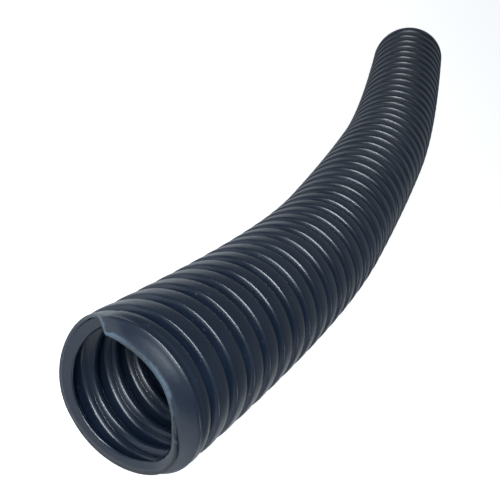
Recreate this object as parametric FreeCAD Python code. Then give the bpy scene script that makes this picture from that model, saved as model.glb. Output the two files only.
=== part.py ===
import FreeCAD, Part
import math
import os

# A length of spirally corrugated vacuum hose for a pool, lying free on a floor.
# Millimetres, +Z up. The mouth that faces -Y is the near end.
# The origin is the middle of the hose's outline, at floor level.

# Driving dimensions of the hose's section

BORE_DIAMETER = 38.0        # clear bore, the 1 1/2 inch size
SKIN_THICKNESS = 1.6        # wall between the bore and the bottom of a groove
RIB_HEIGHT = 3.4            # from the bottom of a groove to the crest of a rib

# Driving dimensions of the ribs, along the hose

RIB_PITCH = 9.66            # from one rib to the next, fitted to each stretch's length
NEAR_FLANK_RUN = 1.2        # length that a rib's steep side takes, the one towards the mouth
FAR_FLANK_RUN = 2.6         # length that its gentler far side takes

# The hose is set down on its ribs, which are flattened by its weight

FLAT_DEPTH = 0.5

# Route of the hose's axis on the floor, mouth first, chosen by hand

ROUTE = [
    (41.6, -202.0),
    (43.0, -100.2),
    (23.1, 1.3),
    (-2.3, 100.5),
    (-45.8, 193.5),
]
ARC_SHARE = 0.45            # share of the shorter run that an arc's tangent takes

# Sizes that follow

BORE_RADIUS = BORE_DIAMETER / 2
GROOVE_RADIUS = BORE_RADIUS + SKIN_THICKNESS
CREST_RADIUS = GROOVE_RADIUS + RIB_HEIGHT
AXIS_HEIGHT = CREST_RADIUS - FLAT_DEPTH
STEADY_X = FreeCAD.Vector(0, 0, 1)


def route_points():
    """Corner points of the axis, at its height over the floor."""
    return [FreeCAD.Vector(x, y, AXIS_HEIGHT) for x, y in ROUTE]


def axis_edges():
    """Straight runs joined by tangent arcs, in order from the mouth."""
    points = route_points()
    edges = []
    start = points[0]
    for before, corner, after in zip(points, points[1:], points[2:]):
        come = corner - before
        leave = after - corner
        turn = come.getAngle(leave)
        reach = ARC_SHARE * min(come.Length, leave.Length)
        radius = reach / math.tan(turn / 2)
        come.normalize()
        leave.normalize()
        first = corner - come * reach
        last = corner + leave * reach
        inward = leave - come
        inward.normalize()
        depth = radius * (1 / math.cos(turn / 2) - 1)
        edges.append(Part.LineSegment(start, first).toShape())
        edges.append(Part.Arc(first, corner + inward * depth, last).toShape())
        print("arc radius %.0f mm, %.1f hose diameters" % (radius, radius / (2 * CREST_RADIUS)))
        start = last
    edges.append(Part.LineSegment(start, points[-1]).toShape())
    return edges


EDGES = axis_edges()
HOSE_LENGTH = sum(edge.Length for edge in EDGES)
NEAR_END = EDGES[0].Length
FAR_END = HOSE_LENGTH - EDGES[-1].Length


def place_on_axis(distance):
    """Point and direction of the axis at a distance from the mouth."""
    left = min(max(distance, 0.0), HOSE_LENGTH)
    for edge in EDGES:
        if left <= edge.Length or edge is EDGES[-1]:
            break
        left -= edge.Length
    at = edge.getParameterByLength(min(left, edge.Length))
    return edge.valueAt(at), edge.tangentAt(at)


def circle(distance, radius):
    """Circle square to the axis, with its seam always on top."""
    centre, along = place_on_axis(distance)
    curve = Part.Circle(centre, along, radius)
    curve.XAxis = STEADY_X
    return Part.Wire([curve.toShape()])


def ribbed_solid(start, end):
    """Outer form of a stretch of hose: ribs that share the V grooves between them.

    A rib has four circles, two on its crest and one at the bottom of the groove on
    either side, which is its neighbour's too.
    """
    count = max(1, round((end - start) / RIB_PITCH))
    pitch = (end - start) / count
    rings = [circle(start, GROOVE_RADIUS)]
    for index in range(count):
        near = start + index * pitch
        far = near + pitch
        rings.append(circle(near + NEAR_FLANK_RUN, CREST_RADIUS))
        rings.append(circle(far - FAR_FLANK_RUN, CREST_RADIUS))
        rings.append(circle(far, GROOVE_RADIUS))
    print("%d ribs, %.2f mm apart" % (count, pitch))
    return Part.makeLoft(rings, True, True)


def bore_solid():
    """The whole bore, swept along the axis from mouth to mouth."""
    spine = Part.Wire(EDGES)
    return spine.makePipeShell([circle(0.0, BORE_RADIUS)], True, False)


def floor_block():
    """Everything below the floor, for the flats under the ribs."""
    reach = HOSE_LENGTH
    depth = CREST_RADIUS
    corner = FreeCAD.Vector(-reach, -reach, -depth)
    return Part.makeBox(2 * reach, 2 * reach, depth, corner)


def stretch(start, end):
    """One stretch of the wound wall, open from end to end."""
    wall = ribbed_solid(start, end)
    wall = wall.cut(bore_solid())
    return wall.cut(floor_block())


def save(shape, node):
    """Write one node and say what it holds."""
    solids = len(shape.Solids)
    print("%s: %d solid, %.0f mm3, valid %s" % (node, solids, shape.Volume, shape.isValid()))
    shape.exportStep("parts/%s.step" % node)


def build():
    """The wall in three stretches that meet face to face: straight, curved, straight."""
    os.makedirs("parts", exist_ok=True)
    print("hose length %.1f mm, straight ends %.1f and %.1f mm"
          % (HOSE_LENGTH, NEAR_END, HOSE_LENGTH - FAR_END))
    save(stretch(0.0, NEAR_END), "near_end_turns")
    save(stretch(NEAR_END, FAR_END), "middle_turns")
    save(stretch(FAR_END, HOSE_LENGTH), "far_end_turns")


build()
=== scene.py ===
import math
from bisect import bisect_right
from collections import namedtuple
from itertools import count

import bmesh
import bpy
from mathutils import Matrix, Vector, noise


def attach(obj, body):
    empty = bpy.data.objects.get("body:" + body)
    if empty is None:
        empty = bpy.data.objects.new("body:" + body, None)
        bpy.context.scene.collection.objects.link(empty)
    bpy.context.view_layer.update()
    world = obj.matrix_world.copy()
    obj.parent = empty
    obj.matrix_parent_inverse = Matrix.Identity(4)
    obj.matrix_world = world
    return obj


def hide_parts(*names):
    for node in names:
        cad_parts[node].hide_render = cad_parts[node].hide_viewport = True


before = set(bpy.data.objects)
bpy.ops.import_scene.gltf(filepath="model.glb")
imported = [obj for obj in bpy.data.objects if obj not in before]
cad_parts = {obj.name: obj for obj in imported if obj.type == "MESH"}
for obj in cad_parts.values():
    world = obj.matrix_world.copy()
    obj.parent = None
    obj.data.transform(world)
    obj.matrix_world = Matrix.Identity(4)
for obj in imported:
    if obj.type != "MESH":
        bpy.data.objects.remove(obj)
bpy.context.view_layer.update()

# A length of spirally corrugated pool vacuum hose, lying free on a pale floor.
# Metres, +Z up. Distances along the hose are counted from its near mouth, and angles
# round it run clockwise as seen from that mouth, from 0 on top.

MM = 0.001
UP = Vector((0, 0, 1))

# The hose's section, one pitch of its helix

CREST_RADIUS = 24.0 * MM
WALL = 1.1 * MM
PITCH = 9.66 * MM
FLAT_DEPTH = 0.5 * MM
AXIS_HEIGHT = CREST_RADIUS - FLAT_DEPTH

# Corners of the outer skin over one pitch, counted from the near edge of a crest:
# distance along the hose and radius. They are rounded by cutting them off twice.

SKIN_CORNERS = [
    (-0.75 * MM, 20.1 * MM),
    (0.15 * MM, 23.8 * MM),
    (1.3 * MM, 24.05 * MM),
    (5.2 * MM, 24.0 * MM),
    (6.9 * MM, 23.3 * MM),
    (8.2 * MM, 20.9 * MM),
]
ROUNDING_PASSES = 2
GROOVE_BOTTOM_AT = -0.55 * MM

# A crest's near edge passes over the top of the hose at this distance from the mouth

EDGE_ON_TOP = 9.3 * MM

# Steps round the hose, and turns laid out past each of its ends before they are cut off

COLUMNS = 120
SPARE_TURNS = 3

# Route of the hose's axis on the floor, mouth first

ROUTE = [
    (41.6 * MM, -202.0 * MM),
    (43.0 * MM, -100.2 * MM),
    (23.1 * MM, 1.3 * MM),
    (-2.3 * MM, 100.5 * MM),
    (-45.8 * MM, 193.5 * MM),
]
STEPS_PER_RUN = 80

# The near mouth was cut by hand along the groove before the first crest. That leaves a
# sliver of the crest before it as a lip, and the first turn is pulled askew. At each
# clock angle, in millimetres: how wide the sliver is, how far the first turn is pulled
# inward, how deep its crest is dented, and how far the lip is drawn towards the axis and
# reaches out of the mouth. ragged says how pale and rough the cut is. The last place is
# the first one again, a pitch further in: there the strip is cut across.

Mouth = namedtuple("Mouth", "degrees sliver pull dent draw reach ragged")
MOUTH = [
    Mouth(-60, 0.3, 0.6, 0.0, 0.2, 0.5, 0.8),
    Mouth(-35, 0.2, 0.9, 0.7, 1.1, 1.7, 0.4),
    Mouth(0, 0.2, 0.9, 0.9, 1.6, 1.9, 0.7),
    Mouth(25, 0.4, 1.0, 0.8, 2.2, 1.8, 0.4),
    Mouth(50, 1.0, 1.4, 0.5, 2.2, 1.4, 0.1),
    Mouth(78, 1.8, 2.4, 0.1, 1.2, 0.4, 0.0),
    Mouth(105, 2.3, 3.1, 0.0, -0.2, 0.0, 0.0),
    Mouth(140, 2.3, 1.8, 0.0, -0.6, 0.0, 0.0),
    Mouth(175, 2.6, 0.2, 0.0, -0.2, 0.0, 0.0),
    Mouth(205, 3.1, -0.8, 0.0, 0.1, 0.0, 0.0),
    Mouth(240, 3.4, -1.0, 0.0, 0.2, 0.0, 0.0),
    Mouth(262, 4.6, -0.7, 0.0, 0.2, 0.0, 0.1),
    Mouth(282, 7.0, -0.2, 0.0, 0.2, 0.0, 0.4),
    Mouth(300, 9.96, 0.3, 0.0, 0.2, 0.0, 0.6),
]
CUT_ROUGHNESS = 0.15 * MM
CUT_NOISE_SCALE = 900.0
CUT_NOISE_SEED = 1
LIP_SLIVER = 3.4 * MM       # a wider sliver is no lip, but the strip's torn end
LIP_STANDS = 0.35           # share of its width that the folded lip still stands out
LIP_FADES_OVER = 0.35 * MM
PULL_FADES_OVER = 2 * PITCH
DENT_AT = 2.1 * MM
DENT_WIDTH = 0.8 * MM

# The weld bead lies inside, on the mouth side of every ridge, and wanders a little

BEAD_AT = 6.9 * MM
BEAD_RADIUS = 0.22 * MM
BEAD_STARTS = 115.0 - 360.0
BEAD_STEP = 4.0
BEAD_STOPS_SHORT = 1.5 * MM
BEAD_WANDER = 0.35 * MM
WANDER_PER_METRE = 220.0
WANDER_PER_DEGREE = 0.035
BEAD_SWELL = 0.5
SWELL_PER_DEGREE = 0.11

# Camera

CAMERA_PLACE = (0.02333, -0.32918, 0.16430)
CAMERA_DOWN = math.radians(33.056)
CAMERA_ASIDE = math.radians(0.122)
CAMERA_ROLL = math.radians(61.706)
CAMERA_LENS = 50.76

# Noise of the plastic's surface, in the scales of Blender's textures, and the extruder's
# lines, per pitch

PATCH_SCALE = 60.0
GRAIN_SCALE = 1500.0
SPECK_SCALE = 700.0
LINES_PER_PITCH = 34.0
BUMP_DEPTH = 0.12 * MM

# Colours and light

PLAIN_COLOUR = (0.006, 0.012, 0.025, 1)
WORN_COLOUR = (0.011, 0.020, 0.038, 1)
DUST_COLOUR = (0.16, 0.18, 0.21, 1)
CUT_COLOUR = (0.075, 0.12, 0.165, 1)
FLOOR_COLOUR = (0.85, 0.85, 0.85, 1)
FLOOR_GLOW = (0.82, 0.82, 0.82, 1)
FLOOR_REACH = 6.0
FLOOR_LEVEL = -0.1 * MM
SKY_COLOUR = (0.62, 0.8, 1, 1)
SKY_STRENGTH = 0.14
LAMP_COLOUR = (0.88, 0.95, 1.0)
REFLECTED_SHARE = 0.1


def make_camera():
    """The photograph's view: looking down along the hose, turned on its side."""
    data = bpy.data.cameras.new("view_camera")
    data.lens = CAMERA_LENS
    data.sensor_width = 36.0
    data.clip_start = 0.01
    data.clip_end = 20.0
    camera = bpy.data.objects.new("view_camera", data)
    bpy.context.scene.collection.objects.link(camera)
    level = Vector((math.cos(CAMERA_ASIDE), math.sin(CAMERA_ASIDE), 0))
    ahead = UP.cross(level) * math.cos(CAMERA_DOWN)
    ahead.z = -math.sin(CAMERA_DOWN)
    rise = level.cross(ahead)
    right = level * math.cos(CAMERA_ROLL) + rise * math.sin(CAMERA_ROLL)
    up = rise * math.cos(CAMERA_ROLL) - level * math.sin(CAMERA_ROLL)
    turned = Matrix((right, up, -ahead)).transposed().to_4x4()
    camera.matrix_world = Matrix.Translation(CAMERA_PLACE) @ turned
    bpy.context.scene.camera = camera


def link(name, mesh):
    """A new object for a mesh, in the scene."""
    piece = bpy.data.objects.new(name, mesh)
    bpy.context.scene.collection.objects.link(piece)
    return piece


def mesh_of(curve):
    """The mesh that Blender makes of a curve."""
    holder = bpy.data.objects.new(curve.name, curve)
    mesh = bpy.data.meshes.new_from_object(holder)
    bpy.data.objects.remove(holder)
    return mesh


# The axis

def route_points():
    """Points of the axis, read from a smooth spline through its control points."""
    curve = bpy.data.curves.new("axis_route", "CURVE")
    curve.dimensions = "3D"
    curve.resolution_u = STEPS_PER_RUN
    spline = curve.splines.new("NURBS")
    spline.points.add(len(ROUTE) - 1)
    for point, (x, y) in zip(spline.points, ROUTE):
        point.co = (x, y, AXIS_HEIGHT, 1.0)
    spline.order_u = 3
    spline.use_endpoint_u = True
    mesh = mesh_of(curve)
    points = [vertex.co.copy() for vertex in mesh.vertices]
    bpy.data.meshes.remove(mesh)
    return points


class Axis:
    """Places along the hose by their distance from its near mouth."""

    def __init__(self, points):
        self.points = points
        self.reach = [0.0]
        for before, after in zip(points, points[1:]):
            self.reach.append(self.reach[-1] + (after - before).length)
        self.length = self.reach[-1]
        self.tangents = []
        for index in range(len(points)):
            before = points[max(index - 1, 0)]
            after = points[min(index + 1, len(points) - 1)]
            self.tangents.append((after - before).normalized())

    def at(self, distance):
        """Point and direction of the axis; past its ends it runs on straight."""
        if distance <= 0.0:
            return self.points[0] + self.tangents[0] * distance, self.tangents[0]
        if distance >= self.length:
            over = distance - self.length
            return self.points[-1] + self.tangents[-1] * over, self.tangents[-1]
        index = bisect_right(self.reach, distance) - 1
        span = self.reach[index + 1] - self.reach[index]
        share = (distance - self.reach[index]) / span
        point = self.points[index].lerp(self.points[index + 1], share)
        along = self.tangents[index].lerp(self.tangents[index + 1], share)
        return point, along.normalized()

    def surface(self, distance, degrees, radius):
        """A point round the axis, at a clock angle and a radius."""
        point, along = self.at(distance)
        side = along.cross(UP)
        angle = math.radians(degrees)
        return point + (UP * math.cos(angle) + side * math.sin(angle)) * radius


# The profile of the wound strip

def rounded(corners):
    """One pitch of a repeating profile, with a quarter of each side cut off its corners."""
    points = list(corners)
    for _ in range(ROUNDING_PASSES):
        following = points[1:] + [(points[0][0] + PITCH, points[0][1])]
        cut = []
        for (a, b), (c, d) in zip(points, following):
            cut.append((a * 0.75 + c * 0.25, b * 0.75 + d * 0.25))
            cut.append((a * 0.25 + c * 0.75, b * 0.25 + d * 0.75))
        points = cut
    return points


def thinned(outer):
    """The same profile a wall's thickness further in, square to the strip."""
    before = [(outer[-1][0] - PITCH, outer[-1][1])] + outer[:-1]
    after = outer[1:] + [(outer[0][0] + PITCH, outer[0][1])]
    inner = []
    for (distance, radius), back, ahead in zip(outer, before, after):
        run = ahead[0] - back[0]
        rise = ahead[1] - back[1]
        size = math.hypot(run, rise)
        inner.append((distance + WALL * rise / size, radius - WALL * run / size))
    return inner


OUTER_SKIN = rounded(SKIN_CORNERS)
INNER_SKIN = thinned(OUTER_SKIN)


def between(one, other, distance):
    """Radius at a distance on the line through two (distance, radius) places."""
    (d0, r0), (d1, r1) = one, other
    return r0 + (r1 - r0) * ((distance - d0) / (d1 - d0))


# The near mouth and the far end

def mouth_at(degrees):
    """The mouth's values at a clock angle, read smoothly between its rows."""
    index = max(i for i, row in enumerate(MOUTH[:-1]) if row.degrees <= degrees)
    before = MOUTH[max(index - 1, 0)]
    here, ahead = MOUTH[index], MOUTH[index + 1]
    after = MOUTH[min(index + 2, len(MOUTH) - 1)]
    span = ahead.degrees - here.degrees
    share = (degrees - here.degrees) / span
    square = share * share
    cube = square * share
    values = []
    for field in range(1, len(here)):
        leaves = (ahead[field] - before[field]) / (ahead.degrees - before.degrees) * span
        comes = (after[field] - here[field]) / (after.degrees - here.degrees) * span
        values.append((2 * cube - 3 * square + 1) * here[field]
                      + (cube - 2 * square + share) * leaves
                      + (3 * square - 2 * cube) * ahead[field]
                      + (cube - square) * comes)
    return Mouth(degrees, *values)


def strip_columns(axis, profile):
    """Columns of (distance, radius) along the strip, each with its clock angle.

    They run once round the clock from the place where the strip is cut across.
    """
    turns = int(axis.length / PITCH) + SPARE_TURNS
    for column in range(COLUMNS):
        degrees = MOUTH[0].degrees + 360.0 * column / COLUMNS
        edge = EDGE_ON_TOP + PITCH * degrees / 360.0
        yield degrees, [(edge + turn * PITCH + along, radius)
                        for turn in range(-SPARE_TURNS, turns)
                        for along, radius in profile]


def shape_mouth(mouth, places):
    """Cut a column's near end down to the lip, and pull and dent its first turn.

    What is cut off is folded into the rim, so that all columns have the same rows.
    """
    sliver, pull, dent, draw, reach = (value * MM for value in mouth[1:6])
    edge = EDGE_ON_TOP + PITCH * (mouth.degrees / 360.0 - 1)
    bottom = edge + GROOVE_BOTTOM_AT
    torn = min(max((sliver - LIP_SLIVER) / (PITCH - LIP_SLIVER), 0.0), 1.0)
    stands = LIP_STANDS + (1 - LIP_STANDS) * torn
    first = next(i for i, (distance, _) in enumerate(places) if bottom - distance <= sliver)
    rim_radius = between(places[first - 1], places[first], bottom - sliver)
    rim = (bottom + pull - reach - sliver * stands, rim_radius - draw)
    shaped = []
    for distance, radius in places:
        before = bottom - distance
        if before > sliver:
            shaped.append(rim)
        elif before > 0.0:
            shaped.append((bottom + pull - reach - before * stands, radius - draw))
        else:
            lip = math.exp(-(before / LIP_FADES_OVER) ** 2)
            hold = max(1 + before / PULL_FADES_OVER, 0.0) ** 2
            off = (distance - edge - DENT_AT) / DENT_WIDTH
            shaped.append((distance + pull * hold - reach * lip,
                           radius - dent * math.exp(-off * off) - draw * lip))
    return shaped


def cut_far_end(axis, places):
    """Cut a column's far end off square, with what is cut off folded into the rim."""
    last = next(i for i, (distance, _) in enumerate(places) if distance >= axis.length)
    rim = (axis.length, between(places[last - 1], places[last], axis.length))
    return places[:last] + [rim] * (len(places) - last)


# The wound wall

def skin_grid(mesh, axis, profile):
    """Vertices of one skin, in columns. Folded rows share one vertex."""
    across = mesh.verts.layers.float["across_strip"]
    torn = mesh.verts.layers.float["torn_edge"]
    skin = []
    for degrees, places in strip_columns(axis, profile):
        mouth = mouth_at(degrees)
        column = []
        made = 0
        last = None
        for row, here in enumerate(cut_far_end(axis, shape_mouth(mouth, places))):
            if here == last:
                column.append(column[-1])
                continue
            place = axis.surface(here[0], degrees, here[1])
            if made == 0:
                shake = noise.noise_vector(place * CUT_NOISE_SCALE)
                place += shake * CUT_ROUGHNESS * mouth.ragged
            place.z = max(place.z, 0.0)
            vertex = mesh.verts.new(place)
            vertex[across] = profile[row % len(profile)][0] / PITCH
            if made < 2:
                vertex[torn] = mouth.ragged
            column.append(vertex)
            made += 1
            last = here
        skin.append(column)
    return skin


def add_face(mesh, corners, flip):
    """A face through the corners that differ, if there are three or more."""
    differing = []
    for vertex in corners:
        if vertex not in differing:
            differing.append(vertex)
    if len(differing) > 2:
        mesh.faces.new(reversed(differing) if flip else differing)


def wound_wall(axis):
    """The wound strip as one closed mesh: outer skin, inner skin and two cut ends.

    The hose's weight flattens it on the floor. The last column joins the first one
    shifted by a pitch, which makes the rings a helix.
    """
    mesh = bmesh.new()
    mesh.verts.layers.float.new("across_strip")
    mesh.verts.layers.float.new("torn_edge")
    noise.seed_set(CUT_NOISE_SEED)
    skins = [skin_grid(mesh, axis, profile) for profile in (OUTER_SKIN, INNER_SKIN)]
    pitch_rows = len(OUTER_SKIN)
    for skin, flip in zip(skins, (False, True)):
        for column, here in enumerate(skin):
            beside = skin[(column + 1) % COLUMNS]
            shift = pitch_rows if column + 1 == COLUMNS else 0
            for row in range(len(here) - 1 - shift):
                add_face(mesh, (here[row], here[row + 1],
                                beside[row + 1 + shift], beside[row + shift]), flip)
    outer, inner = skins
    for end, flip in ((0, False), (-1, True)):
        for column in range(COLUMNS):
            following = (column + 1) % COLUMNS
            add_face(mesh, (outer[column][end], outer[following][end],
                            inner[following][end], inner[column][end]), flip)
    bmesh.ops.recalc_face_normals(mesh, faces=mesh.faces)
    data = bpy.data.meshes.new("wound_wall")
    mesh.to_mesh(data)
    mesh.free()
    data.shade_smooth()
    return link("wound_wall", data)


def seam_bead(axis):
    """One long thin bead that follows the seam between the strip's turns."""
    ahead = next(i for i, (along, _) in enumerate(INNER_SKIN) if along >= BEAD_AT)
    radius = between(INNER_SKIN[ahead - 1], INNER_SKIN[ahead], BEAD_AT)
    places = []
    for degrees in count(BEAD_STARTS, BEAD_STEP):
        distance = EDGE_ON_TOP + PITCH * degrees / 360.0 + BEAD_AT
        if distance > axis.length - BEAD_STOPS_SHORT:
            break
        wander = noise.noise(Vector((distance * WANDER_PER_METRE,
                                     degrees * WANDER_PER_DEGREE, 0.3)))
        swell = noise.noise(Vector((degrees * SWELL_PER_DEGREE, 4.0, 1.7)))
        place = axis.surface(distance + wander * BEAD_WANDER, degrees, radius)
        places.append((place, 1.0 + swell * BEAD_SWELL))
    curve = bpy.data.curves.new("seam_bead", "CURVE")
    curve.dimensions = "3D"
    curve.bevel_depth = BEAD_RADIUS
    curve.bevel_resolution = 2
    curve.use_fill_caps = True
    spline = curve.splines.new("POLY")
    spline.points.add(len(places) - 1)
    for point, (place, thickness) in zip(spline.points, places):
        point.co = (*place, 1.0)
        point.radius = thickness
    mesh = mesh_of(curve)
    mesh.name = "seam_bead"
    mesh.shade_smooth()
    return link("seam_bead", mesh)


# Materials

def node(tree, kind, values=(), **settings):
    """A new node with its settings and constant inputs."""
    made = tree.nodes.new(kind)
    for name, value in settings.items():
        setattr(made, name, value)
    for socket, value in values:
        made.inputs[socket].default_value = value
    return made


def spread(tree, source, low, high, to_low, to_high):
    """Map a value's range onto another, clamped and eased."""
    ranged = node(tree, "ShaderNodeMapRange",
                  [(1, low), (2, high), (3, to_low), (4, to_high)],
                  interpolation_type="SMOOTHSTEP")
    tree.links.new(source, ranged.inputs[0])
    return ranged.outputs[0]


def combine(tree, how, first, second):
    """Two values put together, each a socket or a number."""
    made = node(tree, "ShaderNodeMath", operation=how)
    for socket, value in zip(made.inputs, (first, second)):
        if isinstance(value, (int, float)):
            socket.default_value = value
        else:
            tree.links.new(value, socket)
    return made.outputs[0]


def blend(tree, factor, first, second):
    """A colour between two, the first a colour or a socket."""
    mix = node(tree, "ShaderNodeMix", data_type="RGBA")
    if isinstance(first, tuple):
        mix.inputs["A"].default_value = first
    else:
        tree.links.new(first, mix.inputs["A"])
    mix.inputs["B"].default_value = second
    tree.links.new(factor, mix.inputs["Factor"])
    return mix.outputs["Result"]


def speckle(tree, place, scale, detail):
    """A noise texture's value in the object's own space."""
    texture = node(tree, "ShaderNodeTexNoise", [("Scale", scale), ("Detail", detail)])
    tree.links.new(place, texture.inputs["Vector"])
    return texture.outputs["Fac"]


def plastic_wear():
    """Colour, roughness and normal of extruded black plastic that has been handled."""
    tree = bpy.data.node_groups.new("plastic_wear", "ShaderNodeTree")
    for label, kind in (("colour", "NodeSocketColor"), ("rough", "NodeSocketFloat"),
                        ("normal", "NodeSocketVector")):
        tree.interface.new_socket(label, in_out="OUTPUT", socket_type=kind)
    out = node(tree, "NodeGroupOutput")
    place = node(tree, "ShaderNodeTexCoord").outputs["Object"]
    strip = node(tree, "ShaderNodeAttribute", attribute_name="across_strip").outputs["Fac"]
    torn = node(tree, "ShaderNodeAttribute", attribute_name="torn_edge").outputs["Fac"]

    cloud = speckle(tree, place, PATCH_SCALE, 4.0)
    grain = speckle(tree, place, GRAIN_SCALE, 3.0)
    specks = speckle(tree, place, SPECK_SCALE, 1.0)
    lines = node(tree, "ShaderNodeTexNoise", [("Scale", 1.0), ("Detail", 3.0)],
                 noise_dimensions="1D")
    tree.links.new(combine(tree, "MULTIPLY", strip, LINES_PER_PITCH), lines.inputs["W"])

    # Handled patches, then specks of dust, then the pale cut
    worn = spread(tree, cloud, 0.42, 0.68, 0.0, 0.4)
    dust = spread(tree, specks, 0.72, 0.79, 0.0, 0.2)
    patchy = combine(tree, "MULTIPLY", torn, spread(tree, grain, 0.3, 0.6, 0.65, 1.0))
    ragged = spread(tree, patchy, 0.15, 0.75, 0.0, 1.0)
    colour = blend(tree, worn, PLAIN_COLOUR, WORN_COLOUR)
    colour = blend(tree, dust, colour, DUST_COLOUR)
    colour = blend(tree, ragged, colour, CUT_COLOUR)
    tree.links.new(colour, out.inputs["colour"])

    rough = combine(tree, "ADD", spread(tree, cloud, 0.3, 0.7, 0.28, 0.36),
                    combine(tree, "MULTIPLY", ragged, 0.25))
    tree.links.new(rough, out.inputs["rough"])

    # Extruder lines along the strip, a fine grain and the rough cut
    height = combine(tree, "ADD", combine(tree, "MULTIPLY", lines.outputs["Fac"], 0.5),
                     combine(tree, "MULTIPLY", grain, 0.35))
    pits = combine(tree, "MULTIPLY", combine(tree, "MULTIPLY", ragged, specks), 3.0)
    height = combine(tree, "ADD", height, pits)
    bump = node(tree, "ShaderNodeBump", [("Strength", 0.5), ("Distance", BUMP_DEPTH)])
    tree.links.new(height, bump.inputs["Height"])
    tree.links.new(bump.outputs[0], out.inputs["normal"])
    return tree


def plastic(name, wear, gloss):
    """Soft black plastic with a thin gloss over it."""
    material = bpy.data.materials.new(name)
    material.use_nodes = True
    tree = material.node_tree
    shader = tree.nodes["Principled BSDF"]
    shader.inputs["IOR"].default_value = 1.5
    shader.inputs["Coat Weight"].default_value = gloss
    shader.inputs["Coat Roughness"].default_value = 0.2
    skin = node(tree, "ShaderNodeGroup", node_tree=wear)
    tree.links.new(skin.outputs["colour"], shader.inputs["Base Color"])
    tree.links.new(skin.outputs["rough"], shader.inputs["Roughness"])
    tree.links.new(skin.outputs["normal"], shader.inputs["Normal"])
    return material


# The floor, the sky and the lamps

def seen_rays(tree):
    """1 on the rays that show the background, 0 on the rays that light the object.

    Reflections show only a part of it, or black plastic turns grey.
    """
    rays = node(tree, "ShaderNodeLightPath")
    glossy = combine(tree, "MULTIPLY", rays.outputs["Is Glossy Ray"], REFLECTED_SHARE)
    seen = combine(tree, "MAXIMUM", rays.outputs["Is Camera Ray"], glossy)
    return combine(tree, "MAXIMUM", seen, rays.outputs["Is Transmission Ray"])


def make_floor():
    """A pale floor that looks white and keeps the hose's shadow."""
    mesh = bpy.data.meshes.new("pale_floor")
    corners = [(x * FLOOR_REACH, y * FLOOR_REACH, FLOOR_LEVEL)
               for x, y in ((-1, -1), (1, -1), (1, 1), (-1, 1))]
    mesh.from_pydata(corners, [], [(0, 1, 2, 3)])
    floor = link("pale_floor", mesh)
    material = bpy.data.materials.new("pale_floor")
    material.use_nodes = True
    tree = material.node_tree
    shader = tree.nodes["Principled BSDF"]
    shader.inputs["Base Color"].default_value = FLOOR_COLOUR
    shader.inputs["Roughness"].default_value = 0.9
    glow = node(tree, "ShaderNodeEmission", [("Color", FLOOR_GLOW)])
    tree.links.new(seen_rays(tree), glow.inputs["Strength"])
    add = node(tree, "ShaderNodeAddShader")
    tree.links.new(shader.outputs[0], add.inputs[0])
    tree.links.new(glow.outputs[0], add.inputs[1])
    tree.links.new(add.outputs[0], tree.nodes["Material Output"].inputs["Surface"])
    mesh.materials.append(material)


def make_world():
    """A weak blue sky that lights the hose, with white behind it where it is seen."""
    world = bpy.data.worlds.new("studio")
    world.use_nodes = True
    bpy.context.scene.world = world
    tree = world.node_tree
    sky = tree.nodes["Background"]
    sky.inputs["Color"].default_value = SKY_COLOUR
    sky.inputs["Strength"].default_value = SKY_STRENGTH
    white = node(tree, "ShaderNodeBackground", [("Color", (1, 1, 1, 1)), ("Strength", 1.0)])
    mix = node(tree, "ShaderNodeMixShader")
    tree.links.new(seen_rays(tree), mix.inputs[0])
    tree.links.new(sky.outputs[0], mix.inputs[1])
    tree.links.new(white.outputs[0], mix.inputs[2])
    tree.links.new(mix.outputs[0], tree.nodes["World Output"].inputs["Surface"])


def area_lamp(name, place, aim, size, power):
    """A soft rectangular lamp that looks at a point."""
    data = bpy.data.lights.new(name, "AREA")
    data.shape = "RECTANGLE"
    data.size, data.size_y = size
    data.energy = power
    data.color = LAMP_COLOUR
    lamp = bpy.data.objects.new(name, data)
    bpy.context.scene.collection.objects.link(lamp)
    lamp.location = place
    toward = Vector(aim) - Vector(place)
    lamp.rotation_euler = toward.to_track_quat("-Z", "Y").to_euler()


make_camera()
axis = Axis(route_points())
wear = plastic_wear()
wall = wound_wall(axis)
wall.data.materials.append(plastic("black_soft_plastic", wear, gloss=0.25))
bead = seam_bead(axis)
bead.data.materials.append(plastic("welded_plastic", wear, gloss=0.5))
for piece in (wall, bead):
    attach(piece, "root")
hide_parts("near_end_turns", "middle_turns", "far_end_turns")
make_floor()
make_world()
area_lamp("key_softbox", place=(-0.08, -0.49, 0.33), aim=(0.04, -0.20, 0.03),
          size=(0.38, 0.055), power=2.7)
area_lamp("side_fill", place=(1.0, -0.35, 0.35), aim=(0.03, -0.1, 0.02),
          size=(0.5, 0.3), power=1.2)

bpy.context.scene.view_settings.view_transform = "Standard"
